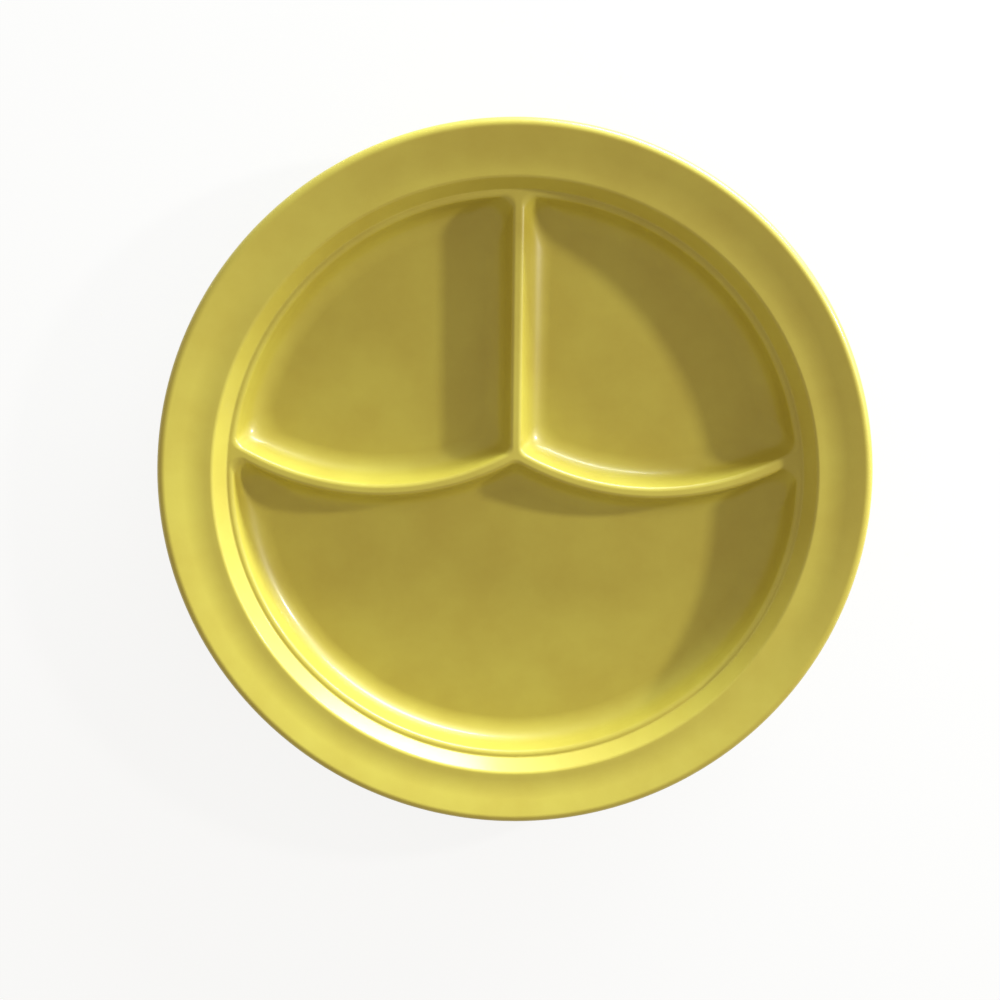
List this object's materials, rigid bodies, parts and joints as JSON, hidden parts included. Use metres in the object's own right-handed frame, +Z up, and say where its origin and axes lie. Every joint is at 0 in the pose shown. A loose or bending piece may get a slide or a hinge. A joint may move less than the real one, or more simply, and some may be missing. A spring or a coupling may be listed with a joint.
{
  "type": "divided plate",
  "caption": "Round moulded dinner plate with a wide rim, a stepped well split by low dividers into a large and two small compartments, and a foot ring.",
  "frame": {"origin": "centre of the plane that the foot ring stands on, under the middle of the plate", "axes": "+Z up; the straight divider runs from the hub along +Y; the large compartment is on the -Y side; the plate is symmetric about the YZ plane"},
  "size_m": [0.254, 0.254, 0.0254],
  "materials": {
    "moulded_melamine": "compression moulded, semi-gloss",
    "melamine_glaze": "clear, high gloss over the body colour"
  },
  "bodies": {
    "root": {"moulded_body": "moulded_melamine", "food_side_glaze": "melamine_glaze"}
  },
  "joints": []
}
